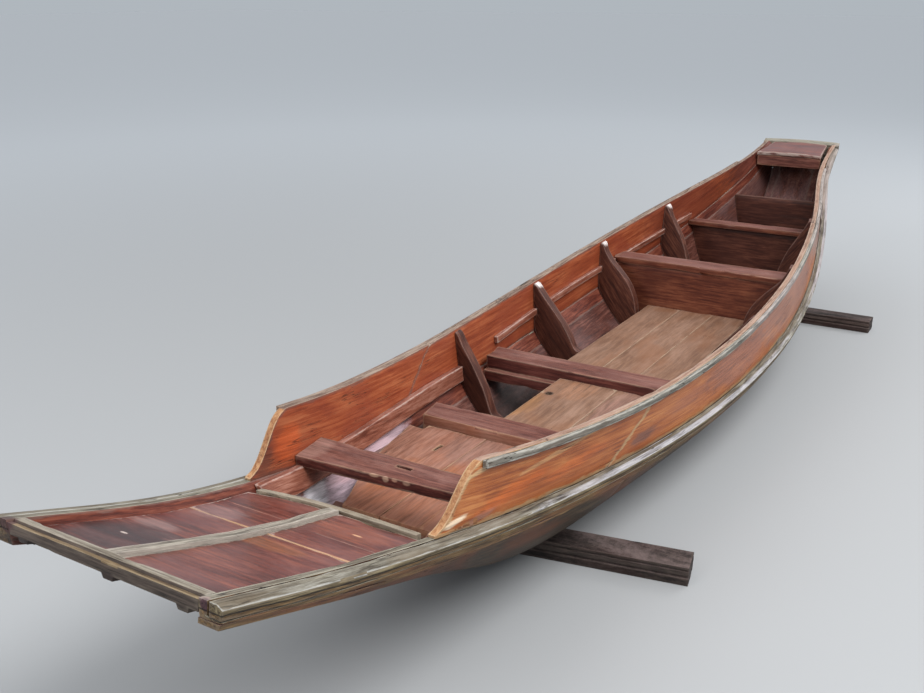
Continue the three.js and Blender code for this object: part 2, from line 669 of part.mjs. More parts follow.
const boat = new THREE.Group();
boat.add(...bottomPlanks());
for (const part of sides) {
  boat.add(...lowerStrakes(part), upperStrake(part), gunwale(part));
  boat.add(...washboards(part));
  boat.add(capRail(part));
  boat.add(riser(part));
  boat.add(inwale(part));
}
boat.add(sternEndBoard(), bowEndBoard());
boat.add(...sternDeck(), ...bowDeck());
boat.add(thwartAft());
boat.add(floorBearer('floor_bearer_stern', 812, 852));
boat.add(floorBeam('floor_beam_aft', 1340, 1436, BEAM.ledge));
boat.add(floorBeam('floor_beam_mid', 1874, 1972, 0));
boat.add(notched(bulkhead('bulkhead_mid', 3012, 359.7, 'varnish')));
boat.add(notched(bulkheadTop('thwart_mid', 3008, 3113, 385, 25)));
boat.add(bulkhead('bulkhead_fore', 3715, 401.7, 'varnish'));
boat.add(bulkheadTop('thwart_fore', 3690, 3770, 422, 20));
boat.add(bulkhead('bulkhead_bow', 4092, 488, 'varnish'));
boat.add(...frames.map((row) => (row.at > INWALE.start ? notched(frame(row)) : frame(row))));
for (const panel of panels) boat.add(...floorPanel(panel));
boat.add(bearer('bearer_aft', 1247, 10.4), bearer('bearer_fore', 3740, 0));

export default boat;
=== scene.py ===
import json
import math

import bmesh
import bpy
import numpy as np
from mathutils import Matrix, Vector, noise
from mathutils.kdtree import KDTree


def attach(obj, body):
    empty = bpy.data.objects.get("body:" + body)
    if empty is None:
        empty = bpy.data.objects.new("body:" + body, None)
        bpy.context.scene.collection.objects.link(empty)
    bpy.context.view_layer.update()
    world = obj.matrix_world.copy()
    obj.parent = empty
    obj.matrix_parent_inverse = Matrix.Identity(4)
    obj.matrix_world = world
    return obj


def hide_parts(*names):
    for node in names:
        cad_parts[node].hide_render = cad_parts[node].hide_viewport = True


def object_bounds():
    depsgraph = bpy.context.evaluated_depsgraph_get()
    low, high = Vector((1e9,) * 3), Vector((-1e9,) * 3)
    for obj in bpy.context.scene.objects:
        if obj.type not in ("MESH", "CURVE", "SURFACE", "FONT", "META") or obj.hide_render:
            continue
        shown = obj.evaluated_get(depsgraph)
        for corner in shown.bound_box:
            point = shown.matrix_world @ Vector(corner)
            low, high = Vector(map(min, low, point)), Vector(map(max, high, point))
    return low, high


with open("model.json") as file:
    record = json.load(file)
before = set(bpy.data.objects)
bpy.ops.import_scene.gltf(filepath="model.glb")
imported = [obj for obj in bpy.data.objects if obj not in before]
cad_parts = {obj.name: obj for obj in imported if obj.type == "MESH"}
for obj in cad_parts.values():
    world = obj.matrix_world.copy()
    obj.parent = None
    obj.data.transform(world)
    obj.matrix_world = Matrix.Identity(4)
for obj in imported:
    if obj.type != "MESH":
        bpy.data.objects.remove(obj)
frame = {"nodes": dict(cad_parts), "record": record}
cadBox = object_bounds()
nodes = frame["nodes"]
bodyOf = {name: body for body, names in frame["record"]["behaviour"]["bodies"].items() for name in names}
sternX = cadBox[0].x
sides = {"port": 1, "starboard": -1}
print("frame loaded:", len(nodes), "nodes")


# Camera, floor and light
view = {
    "place": (-3.1967, -1.2515, 1.4639),
    "right": (0.51911, -0.8547, -0.00287),
    "up": (0.28612, 0.17061, 0.94288),
    "back": (-0.80539, -0.49029, 0.33311),
    "lens": 39.35,
    "sensor": 36,
    "farthest": 200,
}
studio = {
    "floorSize": 120,
    "floorNear": (0.335, 0.34, 0.345, 1),
    "floorFar": (0.56, 0.585, 0.61, 1),
    "floorFade": (0.5, 9.0),  # metres from the middle over which the floor turns paler
    "floorRough": 0.9,
    "sky": [  # how high above the horizon, from 0 to 1, and the colour there
        (0.0, (0.433, 0.472, 0.51, 1)),
        (0.3, (0.50, 0.53, 0.57, 1)),
        (0.9, (0.90, 0.93, 0.96, 1)),
    ],
    "skyStrength": 1.0,
    "lamps": [
        {"name": "keyLamp", "place": (-1.2, -3.2, 4.8), "aim": (0.2, 0, 0.3), "size": 4.0, "power": 300},
        {"name": "sternLamp", "place": (-5.5, 2.0, 3.6), "aim": (-1.0, 0, 0.4), "size": 2.5, "power": 110},
        {"name": "bowLamp", "place": (4.5, -2.5, 4.2), "aim": (1.4, 0, 0.5), "size": 3.0, "power": 110},
    ],
}


def addCamera():
    data = bpy.data.cameras.new("camera")
    data.lens = view["lens"]
    data.sensor_width = view["sensor"]
    data.clip_end = view["farthest"]
    camera = bpy.data.objects.new("camera", data)
    bpy.context.scene.collection.objects.link(camera)
    turn = Matrix((view["right"], view["up"], view["back"])).transposed()
    camera.matrix_world = Matrix.Translation(view["place"]) @ turn.to_4x4()
    bpy.context.scene.camera = camera


def softSky():
    # Bright overhead and dim at the horizon, as in an open yard
    world = bpy.data.worlds.new("sky")
    world.use_nodes = True
    tree = world.node_tree
    coordinates = tree.nodes.new("ShaderNodeTexCoord")
    parts = tree.nodes.new("ShaderNodeSeparateXYZ")
    ramp = tree.nodes.new("ShaderNodeValToRGB")
    ramp.color_ramp.elements.new(0.5)
    for element, (height, colour) in zip(ramp.color_ramp.elements, studio["sky"]):
        element.position = height
        element.color = colour
    tree.links.new(coordinates.outputs["Generated"], parts.inputs[0])
    tree.links.new(parts.outputs["Z"], ramp.inputs["Fac"])
    tree.links.new(ramp.outputs["Color"], tree.nodes["Background"].inputs["Color"])
    tree.nodes["Background"].inputs["Strength"].default_value = studio["skyStrength"]
    return world


def addStudio():
    bm = bmesh.new()
    bmesh.ops.create_grid(bm, x_segments=1, y_segments=1, size=studio["floorSize"] / 2)
    floor = newObject("floor", bm)
    finish = Finish("floorPaint")
    far = finish.length(finish.place()).step(*studio["floorFade"])
    finish.surface(finish.mixed(far, studio["floorNear"], studio["floorFar"]), studio["floorRough"])
    floor.data.materials.append(finish.material)
    bpy.context.scene.world = softSky()
    bpy.context.scene.view_settings.view_transform = "Standard"
    for row in studio["lamps"]:
        data = bpy.data.lights.new(row["name"], "AREA")
        data.shape = "DISK"
        data.size = row["size"]
        data.energy = row["power"]
        lamp = bpy.data.objects.new(row["name"], data)
        lamp.location = row["place"]
        ray = Vector(row["aim"]) - Vector(row["place"])
        lamp.rotation_euler = ray.to_track_quat("-Z", "Y").to_euler()
        bpy.context.scene.collection.objects.link(lamp)


# Shader maths: arithmetic on a Wire adds Math nodes, and Finish.node adds any other
class Wire:
    def __init__(self, finish, socket):
        self.finish = finish
        self.socket = socket

    def maths(self, operation, *others):
        return self.finish.node("Math", {"operation": operation}, dict(enumerate((self, *others))))

    def __add__(self, other):
        return self.maths("ADD", other)

    __radd__ = __add__

    def __sub__(self, other):
        return self.maths("SUBTRACT", other)

    def __rsub__(self, other):
        return self.finish.node("Math", {"operation": "SUBTRACT"}, {0: other, 1: self})

    def __mul__(self, other):
        return self.maths("MULTIPLY", other)

    __rmul__ = __mul__

    def __abs__(self):
        return self.maths("ABSOLUTE")

    def step(self, low, high):
        settings = {"interpolation_type": "SMOOTHSTEP"}
        return self.finish.node("MapRange", settings, {"Value": self, "From Min": low, "From Max": high})


class Finish:
    def __init__(self, name):
        self.material = bpy.data.materials.new(name)
        self.material.use_nodes = True
        self.tree = self.material.node_tree
        self.tree.nodes.clear()

    def node(self, kind, settings, inputs, output=0):
        made = self.tree.nodes.new("ShaderNode" + kind)
        for key, value in settings.items():
            if key == "stops":
                self.setStops(made.color_ramp, value)
            else:
                setattr(made, key, value)
        for key, value in inputs.items():
            if isinstance(value, Wire):
                self.tree.links.new(value.socket, made.inputs[key])
            else:
                made.inputs[key].default_value = value
        return Wire(self, made.outputs[output]) if made.outputs else None

    def setStops(self, ramp, stops):
        while len(ramp.elements) < len(stops):
            ramp.elements.new(0.5)
        for element, (position, colour) in zip(ramp.elements, stops):
            element.position = position
            element.color = colour

    def mixed(self, share, first, second):
        return self.node("Mix", {"data_type": "RGBA"}, {0: share, 6: first, 7: second}, 2)

    def ramp(self, value, stops):
        return self.node("ValToRGB", {"stops": stops}, {"Fac": value})

    def vectors(self, operation, first, second):
        return self.node("VectorMath", {"operation": operation}, {0: first, 1: second})

    def length(self, vector):
        return self.node("VectorMath", {"operation": "LENGTH"}, {0: vector}, "Value")

    def part(self, vector, axis):
        return self.node("SeparateXYZ", {}, {0: vector}, axis)

    def place(self):
        return self.node("TexCoord", {}, {}, "Object")

    def own(self, name, output):
        return self.node("Attribute", {"attribute_name": name}, {}, output)

    def cloud(self, vector, scale, detail, roughness, warp):
        inputs = {"Vector": vector, "Scale": scale, "Detail": detail}
        inputs.update({"Roughness": roughness, "Distortion": warp})
        return self.node("TexNoise", {}, inputs)

    def grain(self, flow, layer, along=1.0):
        # Noise drawn out along the grain, the more so the smaller "along" is
        across, *settings = grainLayers[layer]
        return self.cloud(self.vectors("MULTIPLY", flow, (along, across, across)), *settings)

    def blob(self, mark, ragged):
        # 1 inside an ellipsoid about a place on the boat, fading over a ragged edge
        offset = self.vectors("SUBTRACT", self.place(), mark["at"])
        far = self.length(self.vectors("DIVIDE", offset, mark["reach"]))
        return (far + (ragged - 0.5) * markEdge["fray"]).step(*markEdge["blob"])

    def stripe(self, mark, ragged):
        # 1 on a thin line athwart the boat, between two places across it
        place = self.place()
        along, across = self.part(place, 0), self.part(place, 1)
        half, fade = mark["half"], markEdge["lineEnd"]
        line = abs(along - mark["at"] + (ragged - 0.5) * half).step(half, half * markEdge["lineCore"])
        ends = across.step(mark["low"] - fade, mark["low"]) * across.step(mark["high"] + fade, mark["high"])
        gain, least = markEdge["lineWear"]
        return line * ends * (ragged * gain + least).maths("MINIMUM", 1.0)

    def surface(self, colour, roughness, coat=0.0, normal=None, specular=0.5, coatRough=0.18):
        inputs = {"Base Color": colour, "Roughness": roughness, "Coat Weight": coat}
        inputs.update({"Coat Roughness": coatRough, "Specular IOR Level": specular})
        if normal is not None:
            inputs["Normal"] = normal
        shader = self.node("BsdfPrincipled", {}, inputs)
        self.node("OutputMaterial", {}, {"Surface": shader})


def tone(red, green, blue):
    # A colour as it is seen, in 0 to 255, turned to light values
    shares = [c / 255 for c in (red, green, blue)]
    return tuple(((c + 0.055) / 1.055) ** 2.4 if c > 0.04 else c / 12.92 for c in shares) + (1,)


# Wood finishes. Grain runs along the first axis of each piece's own "flow" attribute, in metres,
# and its "rim" attribute is the distance to the nearest arris.
woodDefaults = {  # an edge is where a thing starts to show and where it is full
    "tones": [(60, 30, 20), (110, 60, 45), (150, 90, 70)],
    "streak": 0.6,
    "cloudy": 0.35,
    "contrast": 1.25,  # what the shares of streaks, clouds and fine lines add up to
    "along": 1.0,  # less than 1 draws the grain out lengthwise
    "second": None,
    "secondEdge": (0.46, 0.64),
    "secondShare": 0.5,
    "bare": (150, 138, 122),
    "bareDull": 0.78,  # the darker of the two bare shades
    "bareEdge": (0.1, 0.9),
    "bareRim": 0.006,
    "bareCore": 0.25,  # in widths of the bare rim
    "bareWaver": 3.2,
    "bareShare": 0.35,
    "cracks": 0.3,
    "crackEdge": (0.016, 0.004),
    "crackField": (0.62, 0.7),
    "crackSpread": 0.3,
    "crackShow": 1.6,
    "crackTone": (28, 18, 14),
    "dust": 0.25,
    "dustEdge": (0.38, 0.68),
    "dustMix": (0.35, 0.65),  # specks and clouds
    "dustSlope": (0.4, 0.95),
    "dustTone": (160, 140, 138),
    "rough": (0.45, 0.7),
    "roughest": 0.95,
    "bareRough": 0.25,
    "dustRough": 0.3,
    "specular": 0.3,
    "coat": 0.0,
    "bump": 0.35,
    "bumpDepth": 0.002,
    "relief": (0.5, 0.5, 1.6),  # fine lines, streaks and cracks
    "bands": [],
    "bandEdge": (0.002, -0.004),
    "seam": None,
    "seamEdge": (0.0022, 0.0008),
    "seamWaver": 0.006,
    "seamShare": 0.9,
    "marks": [],
}
grainStops = (0.5, 0.62, 0.75)  # where the three tones of a finish stand on its grain
grainLayers = {  # stretch across the grain, scale, detail, roughness and warp
    "streaks": (14.0, 9.0, 5.0, 0.6, 0.4),
    "lines": (26.0, 34.0, 3.0, 0.6, 0.0),
    "drifts": (3.0, 4.5, 4.0, 0.6, 0.6),
    "patches": (2.2, 3.1, 3.0, 0.55, 0.5),
    "ragged": (3.5, 16.0, 4.0, 0.65, 0.0),
    "veins": (22.0, 3.4, 2.0, 0.5, 0.3),
    "checked": (4.0, 2.3, 2.0, 0.55, 0.0),
}
specks = (85.0, 3.0, 0.7, 0.0)  # scale, detail, roughness and warp
markEdge = {"fray": 1.1, "blob": (1.15, 0.6), "lineCore": 0.4, "lineEnd": 0.01, "lineWear": (0.8, 0.5)}
markShades = (0.78, 1.0, 1.14)


def spread(tones):
    return list(zip(grainStops, (tone(*t) for t in tones)))


def shaded(colour, share):
    return [min(255, c * share) for c in colour]


def woodFinish(name, **changes):
    look = {**woodDefaults, **changes}
    finish = Finish(name)
    flow = finish.own("flow", "Vector")
    streaks = finish.grain(flow, "streaks", look["along"])
    lines = finish.grain(flow, "lines", look["along"])
    drifts = finish.grain(flow, "drifts")
    ragged = finish.grain(flow, "ragged")
    speckled = finish.cloud(finish.place(), *specks)
    fine = look["contrast"] - look["streak"] - look["cloudy"]
    mix = streaks * look["streak"] + drifts * look["cloudy"] + lines * fine
    colour = finish.ramp(mix, spread(look["tones"]))
    for level, tones, waver in look["bands"]:
        # Below a level under the rail the wood is another colour
        drop = finish.part(flow, 1) + (drifts + streaks - 1) * (waver / 2)
        below = drop.step(*(level + edge for edge in look["bandEdge"]))
        colour = finish.mixed(below, colour, finish.ramp(mix, spread(tones)))
    if look["second"]:
        share = finish.grain(flow, "patches").step(*look["secondEdge"]) * look["secondShare"]
        colour = finish.mixed(share, colour, tone(*look["second"]))
    width = look["bareRim"]
    rim = finish.own("rim", "Fac") + (ragged - 0.5) * (width * look["bareWaver"])
    worn = rim.step(width, width * look["bareCore"]) * look["bareShare"]
    dull = tone(*shaded(look["bare"], look["bareDull"]))
    bare = finish.mixed(lines.step(*look["bareEdge"]), dull, tone(*look["bare"]))
    colour = finish.mixed(worn, colour, bare)
    # Marks lay stains, wear and patches of painted shade, highlight and reflection over the grain
    for mark in look["marks"]:
        shape = finish.stripe(mark, ragged) if "half" in mark else finish.blob(mark, ragged)
        shades = spread([shaded(mark["tone"], share) for share in markShades])
        colour = finish.mixed(shape * mark["share"], colour, finish.ramp(mix, shades))
    if look["seam"]:
        line = abs(finish.part(flow, 1) - look["seam"] + (ragged - 0.5) * look["seamWaver"])
        share = line.step(*look["seamEdge"]) * look["seamShare"]
        colour = finish.mixed(share, colour, tone(*look["crackTone"]))
    start, full = look["crackField"]
    where = finish.grain(flow, "checked").step(start - look["cracks"] * look["crackSpread"], full)
    crack = abs(finish.grain(flow, "veins") - 0.5).step(*look["crackEdge"]) * where
    share = crack * min(1.0, look["cracks"] * look["crackShow"])
    colour = finish.mixed(share, colour, tone(*look["crackTone"]))
    up = finish.part(finish.node("NewGeometry", {}, {}, "Normal"), 2).step(*look["dustSlope"])
    specked, clouded = look["dustMix"]
    dusty = up * (speckled * specked + drifts * clouded).step(*look["dustEdge"]) * look["dust"]
    colour = finish.mixed(dusty, colour, tone(*look["dustTone"]))
    low, high = look["rough"]
    rough = streaks * (high - low) + low + worn * look["bareRough"] + dusty * look["dustRough"]
    fineRelief, streakRelief, crackRelief = look["relief"]
    height = lines * fineRelief + streaks * streakRelief - crack * crackRelief
    ripple = {"Strength": look["bump"], "Distance": look["bumpDepth"], "Height": height}
    bump = finish.node("Bump", {}, ripple)
    coat = look["coat"]
    if coat:
        coat = (1 - worn) * (1 - dusty) * coat
    finish.surface(colour, rough.maths("MINIMUM", look["roughest"]), coat, bump, look["specular"])
    return finish.material


# Marks: places where the wood is worn, stained or painted, and patches of painted shade, shadow, highlight
# and reflection
insideStern = sternX + 0.019


def at(place):
    # A place along the boat, in metres from just inside the stern, as a coordinate
    return insideStern + place


def spot(along, across, up, reach, colour, share):
    # A patch of another colour on the wood
    return {"at": (at(along), across, up), "reach": reach, "tone": colour, "share": share}


def deckLine(along, half, low, high, colour, share):
    # A thin line athwart the deck
    return {"at": at(along), "half": half, "low": low, "high": high, "tone": colour, "share": share}


deckMarksAndPaintedLight = [
    deckLine(0.376, 0.0055, -0.3, 0.3, (176, 132, 88), 0.75),
    deckLine(0.474, 0.0018, 0.03, 0.18, (178, 138, 120), 0.6),
    deckLine(0.461, 0.0018, -0.2, -0.06, (178, 138, 120), 0.6),
    # Painted reflection: three pale pinkish patches standing for the gloss reflection of a tall pale board
    # beside the deck
    spot(0.235, 0.15, 0.49, (0.030, 0.06, 0.1), (146, 118, 112), 0.5),
    spot(0.185, 0.09, 0.50, (0.028, 0.05, 0.1), (134, 104, 98), 0.45),
    spot(0.40, 0.16, 0.44, (0.05, 0.07, 0.1), (146, 116, 112), 0.4),
    spot(0.33, -0.05, 0.46, (0.03, 0.10, 0.1), (150, 92, 44), 0.35),
    spot(0.52, -0.10, 0.40, (0.06, 0.10, 0.1), (146, 78, 48), 0.4),
    # Painted shade: a near-black patch darkening the far aft deck, holding down its sheen there
    spot(0.12, 0.12, 0.52, (0.11, 0.12, 0.1), (50, 20, 18), 0.9),
    spot(0.30, 0.18, 0.46, (0.03, 0.06, 0.1), (96, 34, 26), 0.5),
    spot(0.143, 0.131, 0.524, (0.005, 0.010, 0.03), (214, 196, 184), 0.7),
    spot(0.323, 0.263, 0.46, (0.006, 0.020, 0.1), (206, 190, 170), 0.8),
    spot(0.514, -0.118, 0.40, (0.004, 0.014, 0.1), (206, 160, 120), 0.8),
]
railMarks = [
    spot(-0.019, 0.233, 0.593, (0.022, 0.022, 0.018), (70, 46, 48), 0.9),
    spot(-0.019, 0.19, 0.562, (0.02, 0.07, 0.016), (50, 44, 44), 0.8),
    spot(-0.019, -0.238, 0.601, (0.026, 0.010, 0.006), (140, 118, 112), 0.85),
    spot(-0.019, -0.241, 0.590, (0.010, 0.012, 0.013), (66, 40, 48), 0.95),
    spot(-0.019, -0.022, 0.560, (0.02, 0.022, 0.020), (54, 42, 40), 0.85),
    spot(4.0, -0.30, 0.60, (1.5, 0.22, 0.16), (158, 146, 142), 0.6),
    spot(2.6, -0.46, 0.40, (0.5, 0.08, 0.12), (156, 144, 142), 0.5),
]
railMarksAndChamferHighlight = railMarks + [
    # Painted highlight: lilac-white patches along the near gunwale's chamfer
    spot(1.75, -0.42, 0.33, (1.15, 0.14, 0.16), (176, 174, 180), 0.62),
    spot(3.5, -0.36, 0.44, (0.9, 0.2, 0.2), (172, 164, 168), 0.6),
]
washboardMarks = [
    spot(0.655, -0.275, 0.413, (0.045, 0.03, 0.009), (222, 200, 172), 0.9),
    spot(0.80, -0.28, 0.50, (0.16, 0.03, 0.008), (206, 180, 136), 0.6),
    spot(0.72, -0.28, 0.385, (0.10, 0.05, 0.010), (150, 112, 98), 0.7),
    spot(0.86, -0.30, 0.40, (0.16, 0.05, 0.022), (180, 88, 34), 0.7),
    spot(1.12, -0.33, 0.37, (0.18, 0.05, 0.02), (182, 92, 40), 0.6),
    spot(1.02, -0.33, 0.43, (0.20, 0.05, 0.008), (206, 166, 116), 0.5),
    spot(1.47, -0.385, 0.31, (0.10, 0.05, 0.022), (104, 72, 66), 0.7),
    spot(1.75, -0.40, 0.33, (0.16, 0.05, 0.03), (144, 88, 66), 0.5),
    spot(2.15, -0.43, 0.34, (0.32, 0.06, 0.08), (146, 96, 80), 0.6),
    spot(2.85, -0.43, 0.38, (0.55, 0.08, 0.12), (138, 98, 84), 0.75),
    spot(3.70, -0.34, 0.50, (0.55, 0.12, 0.16), (136, 112, 104), 0.8),
]
farWashboardMarksAndPaintedShadow = [
    # Painted shadow: a dark upright patch on the far washboard's inside, near a frame
    spot(0.64, 0.27, 0.43, (0.05, 0.04, 0.10), (96, 58, 48), 0.8),
    spot(0.74, 0.27, 0.44, (0.06, 0.04, 0.05), (198, 88, 40), 0.5),
    spot(3.70, 0.33, 0.52, (0.50, 0.14, 0.2), (104, 46, 34), 0.6),
    spot(4.35, 0.20, 0.64, (0.40, 0.14, 0.2), (92, 48, 40), 0.85),
]
insideMarksAndPaintedShadow = [
    spot(0.64, 0.21, 0.33, (0.10, 0.07, 0.07), (164, 154, 160), 0.8),
    spot(0.60, 0.19, 0.30, (0.03, 0.05, 0.03), (206, 204, 208), 0.6),
    spot(0.80, 0.225, 0.29, (0.06, 0.05, 0.05), (206, 206, 212), 0.8),
    spot(0.90, 0.23, 0.25, (0.09, 0.08, 0.06), (190, 168, 178), 0.8),
    spot(1.00, 0.27, 0.28, (0.16, 0.10, 0.04), (172, 140, 144), 0.8),
    spot(1.24, 0.30, 0.27, (0.12, 0.10, 0.035), (182, 152, 158), 0.8),
    spot(1.36, 0.30, 0.27, (0.04, 0.05, 0.03), (178, 178, 184), 0.7),
    # Painted shadow: near-black on the hull inside, seen below the notch in the aft floor
    spot(1.34, 0.25, 0.19, (0.06, 0.06, 0.05), (30, 20, 18), 0.8),
    spot(1.95, 0.27, 0.12, (0.25, 0.12, 0.06), (26, 17, 15), 0.8),
]
strakeMarks = [
    spot(1.14, 0.29, 0.262, (0.22, 0.06, 0.024), (194, 168, 176), 0.85),
]
floorMarksAndPaintedShade = [
    # Painted shade: near-black in and around the finger slot in the aft floor
    spot(1.2145, 0.135, 0.252, (0.030, 0.016, 0.010), (34, 22, 18), 1.0),
    spot(1.732, 0.049, 0.262, (0.017, 0.015, 0.020), (44, 28, 22), 0.9),
    spot(0.80, 0.0, 0.264, (0.20, 0.30, 0.03), (156, 98, 70), 0.4),
    # Painted shade: a darker patch on the aft floor near the middle
    spot(1.25, 0.04, 0.264, (0.10, 0.10, 0.03), (122, 88, 76), 0.6),
    spot(1.02, 0.15, 0.264, (0.12, 0.05, 0.03), (164, 100, 58), 0.5),
    spot(1.05, 0.02, 0.264, (0.10, 0.05, 0.02), (140, 84, 48), 0.4),
    spot(0.90, -0.06, 0.264, (0.10, 0.10, 0.02), (144, 90, 64), 0.4),
    # Painted shadow: a dark band across the aft floor just forward of the coaming
    spot(0.68, -0.10, 0.264, (0.03, 0.20, 0.02), (96, 66, 50), 0.7),
    spot(1.62, 0.10, 0.264, (0.12, 0.07, 0.05), (150, 108, 66), 0.5),
    spot(1.80, -0.02, 0.264, (0.10, 0.06, 0.05), (138, 92, 62), 0.5),
    spot(1.72, -0.22, 0.264, (0.22, 0.10, 0.05), (134, 98, 88), 0.6),
]
chipMarks = [
    spot(0.781, 0.034, 0.392, (0.006, 0.014, 0.006), (192, 156, 130), 0.55),
    spot(0.783, 0.002, 0.389, (0.007, 0.010, 0.009), (204, 170, 144), 0.55),
    spot(0.785, -0.022, 0.391, (0.005, 0.009, 0.006), (184, 144, 120), 0.55),
    spot(0.787, -0.054, 0.390, (0.006, 0.012, 0.007), (194, 156, 132), 0.55),
    spot(0.82, 0.25, 0.395, (0.07, 0.05, 0.02), (152, 116, 104), 0.6),
]


brownHull = [(50, 36, 24), (96, 72, 44), (138, 110, 72)]
darkHull = [(38, 31, 24), (63, 51, 40), (92, 76, 59)]


def headMarks():
    # Worn, whitened heads of the frames, on the port side
    rows = []
    for k in (2, 3, 4):
        top = max((v.co for v in nodes[f"frame_{k}"].data.vertices if v.co.y > 0), key=lambda co: co.z)
        rows.append({"at": tuple(top), "reach": (0.04, 0.03, 0.022), "tone": (214, 204, 200), "share": 0.9})
    return rows


